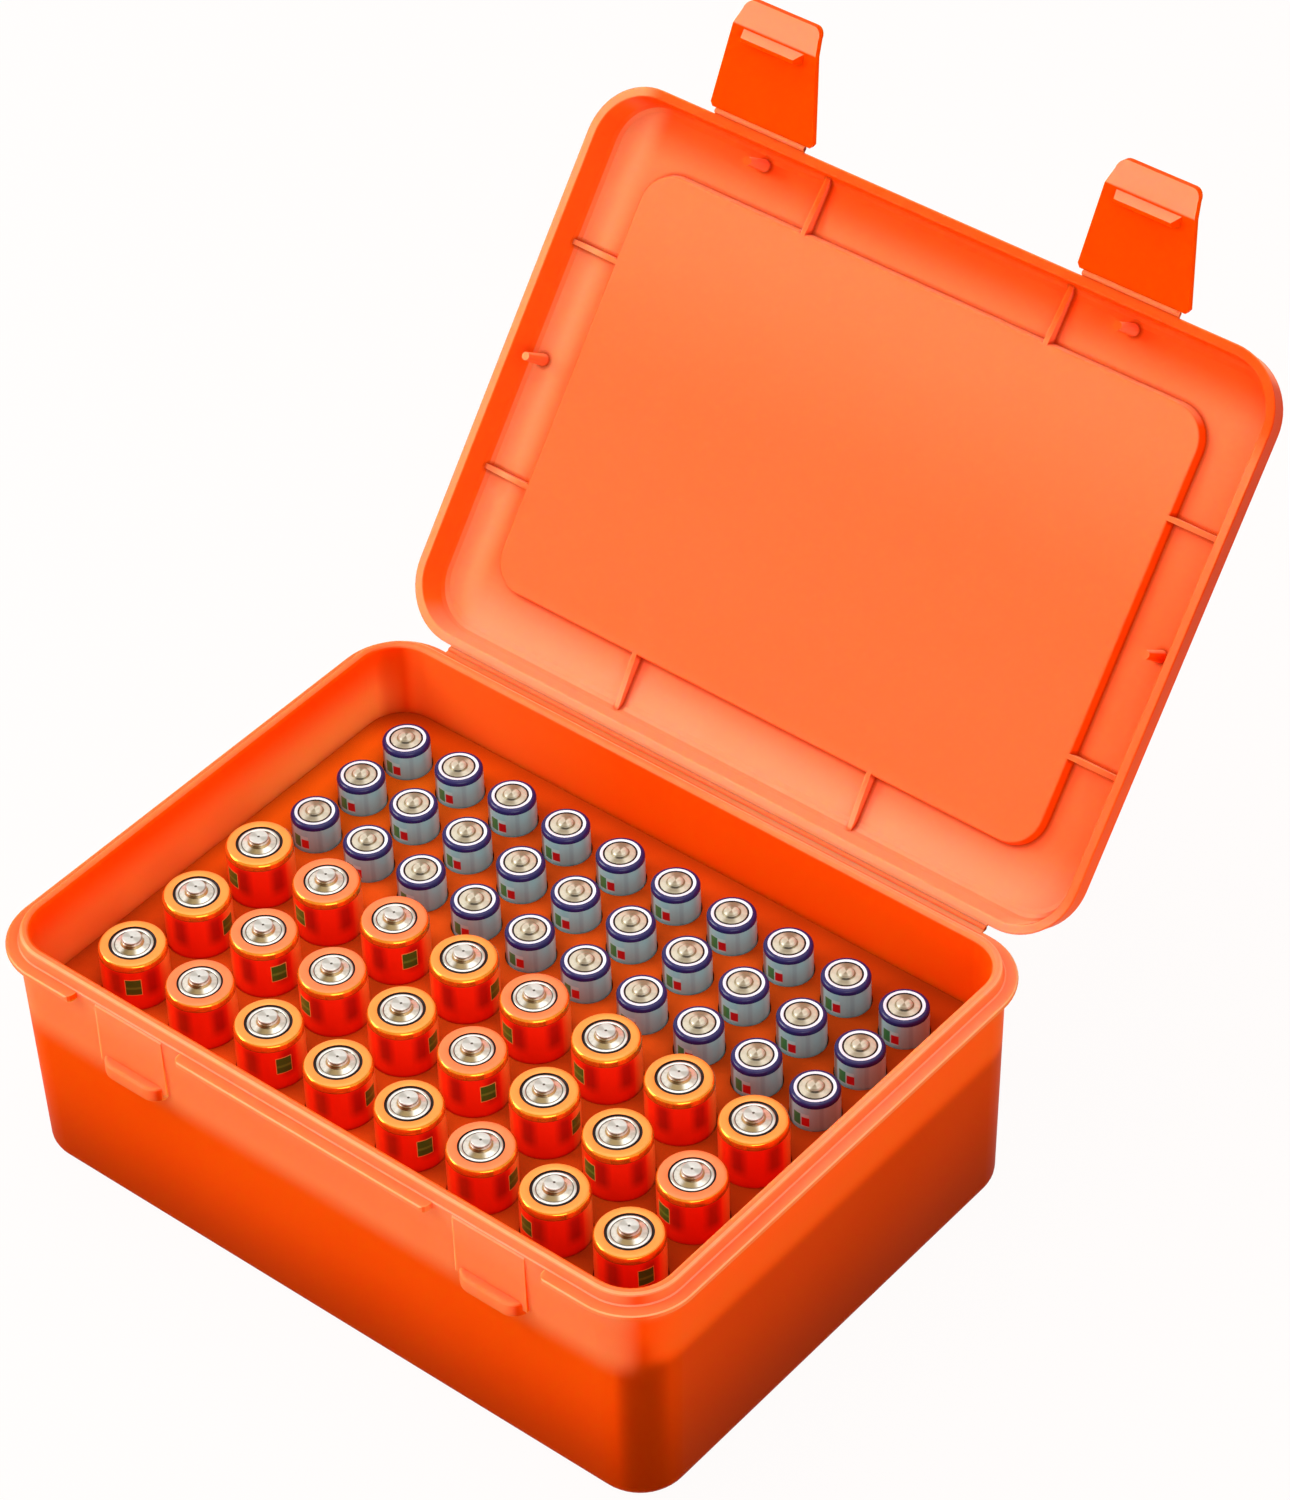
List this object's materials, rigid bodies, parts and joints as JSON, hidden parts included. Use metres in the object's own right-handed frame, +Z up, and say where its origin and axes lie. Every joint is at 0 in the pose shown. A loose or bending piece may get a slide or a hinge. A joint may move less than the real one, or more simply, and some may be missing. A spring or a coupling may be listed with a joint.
{
  "type": "battery storage case",
  "caption": "Hinged plastic box with a drilled tray that holds upright AA and AAA cells, a ribbed lid and two fold-down snap latches.",
  "frame": {"origin": "middle of the flat underside of the case", "axes": "+Z up, +X to the right as seen from the latch side, -Y towards the latch side, +Y towards the hinge"},
  "size_m": [0.1762, 0.2188, 0.1832],
  "materials": {
    "orange_plastic": "satin moulded polypropylene",
    "tray_foam": "matte, fine grained",
    "aa_sleeve": "gloss printed sleeve with a gold shoulder and a silver cap",
    "aaa_sleeve": "gloss printed sleeve with a navy shoulder and a silver cap"
  },
  "bodies": {
    "case": {"base": "orange_plastic", "tray": "tray_foam", "aa_battery_1": "aa_sleeve", "aa_battery_2": "aa_sleeve", "aa_battery_3": "aa_sleeve", "aa_battery_4": "aa_sleeve", "aa_battery_5": "aa_sleeve", "aa_battery_6": "aa_sleeve", "aa_battery_7": "aa_sleeve", "aa_battery_8": "aa_sleeve", "aa_battery_9": "aa_sleeve", "aa_battery_10": "aa_sleeve", "aa_battery_11": "aa_sleeve", "aa_battery_12": "aa_sleeve", "aa_battery_13": "aa_sleeve", "aa_battery_14": "aa_sleeve", "aa_battery_15": "aa_sleeve", "aa_battery_16": "aa_sleeve", "aa_battery_17": "aa_sleeve", "aa_battery_18": "aa_sleeve", "aa_battery_19": "aa_sleeve", "aa_battery_20": "aa_sleeve", "aa_battery_21": "aa_sleeve", "aa_battery_22": "aa_sleeve", "aa_battery_23": "aa_sleeve", "aa_battery_24": "aa_sleeve", "aaa_battery_1": "aaa_sleeve", "aaa_battery_2": "aaa_sleeve", "aaa_battery_3": "aaa_sleeve", "aaa_battery_4": "aaa_sleeve", "aaa_battery_5": "aaa_sleeve", "aaa_battery_6": "aaa_sleeve", "aaa_battery_7": "aaa_sleeve", "aaa_battery_8": "aaa_sleeve", "aaa_battery_9": "aaa_sleeve", "aaa_battery_10": "aaa_sleeve", "aaa_battery_11": "aaa_sleeve", "aaa_battery_12": "aaa_sleeve", "aaa_battery_13": "aaa_sleeve", "aaa_battery_14": "aaa_sleeve", "aaa_battery_15": "aaa_sleeve", "aaa_battery_16": "aaa_sleeve", "aaa_battery_17": "aaa_sleeve", "aaa_battery_18": "aaa_sleeve", "aaa_battery_19": "aaa_sleeve", "aaa_battery_20": "aaa_sleeve", "aaa_battery_21": "aaa_sleeve", "aaa_battery_22": "aaa_sleeve", "aaa_battery_23": "aaa_sleeve", "aaa_battery_24": "aaa_sleeve", "aaa_battery_25": "aaa_sleeve", "aaa_battery_26": "aaa_sleeve", "aaa_battery_27": "aaa_sleeve", "aaa_battery_28": "aaa_sleeve", "aaa_battery_29": "aaa_sleeve", "aaa_battery_30": "aaa_sleeve"},
    "lid": {"lid": "orange_plastic"},
    "latch_left": {"latch_left": "orange_plastic"},
    "latch_right": {"latch_right": "orange_plastic"}
  },
  "joints": [
    {"name": "lid_hinge", "type": "hinge", "parent": "case", "child": "lid", "pos_m": [0, 0.0649, 0.0571], "axis": [-1, 0, 0], "range_deg": [-128, 52]},
    {"name": "latch_left_fold", "type": "hinge", "parent": "lid", "child": "latch_left", "pos_m": [-0.04757, 0.14447, 0.15895], "axis": [1, 0, 0], "range_deg": [-23.5, 66.5]},
    {"name": "latch_right_fold", "type": "hinge", "parent": "lid", "child": "latch_right", "pos_m": [0.04757, 0.14447, 0.15895], "axis": [1, 0, 0], "range_deg": [-23.5, 66.5]}
  ]
}
